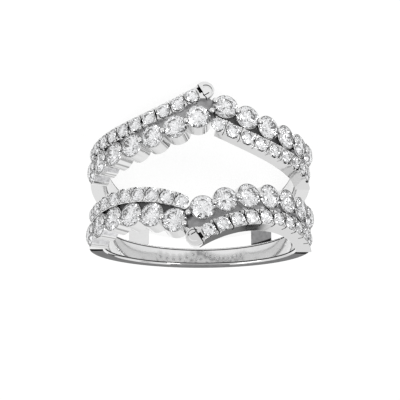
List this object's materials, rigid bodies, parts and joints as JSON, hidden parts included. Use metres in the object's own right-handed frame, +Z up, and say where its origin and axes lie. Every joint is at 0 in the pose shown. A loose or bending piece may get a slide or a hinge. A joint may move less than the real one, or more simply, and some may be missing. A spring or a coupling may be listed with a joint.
{
  "type": "ring guard enhancer",
  "caption": "Chevron ring guard: a pair of stone-set bands, joined behind the finger, that frames another ring worn between them.",
  "frame": {"origin": "middle of the finger hole, on its axis", "axes": "the ring lies on its side: +Z is up from the ground, the head with its stones and tips points towards -Y, and the back of the shank towards +Y"},
  "size_m": [0.0206, 0.0221, 0.0151],
  "materials": {
    "white_gold": "polished white gold",
    "diamond": "cut and polished colourless stone"
  },
  "bodies": {
    "root": {"guard_frame": "white_gold", "upper_large_stone_01": "diamond", "upper_large_stone_02": "diamond", "upper_large_stone_03": "diamond", "upper_large_stone_04": "diamond", "upper_large_stone_05": "diamond", "upper_large_stone_06": "diamond", "upper_large_stone_07": "diamond", "upper_large_stone_08": "diamond", "upper_large_stone_09": "diamond", "upper_large_stone_10": "diamond", "upper_large_stone_11": "diamond", "upper_large_stone_12": "diamond", "upper_large_stone_13": "diamond", "lower_large_stone_01": "diamond", "lower_large_stone_02": "diamond", "lower_large_stone_03": "diamond", "lower_large_stone_04": "diamond", "lower_large_stone_05": "diamond", "lower_large_stone_06": "diamond", "lower_large_stone_07": "diamond", "lower_large_stone_08": "diamond", "lower_large_stone_09": "diamond", "lower_large_stone_10": "diamond", "lower_large_stone_11": "diamond", "lower_large_stone_12": "diamond", "lower_large_stone_13": "diamond", "upper_outer_small_stones": "diamond", "upper_inner_small_stones": "diamond", "lower_outer_small_stones": "diamond", "lower_inner_small_stones": "diamond"}
  },
  "joints": []
}
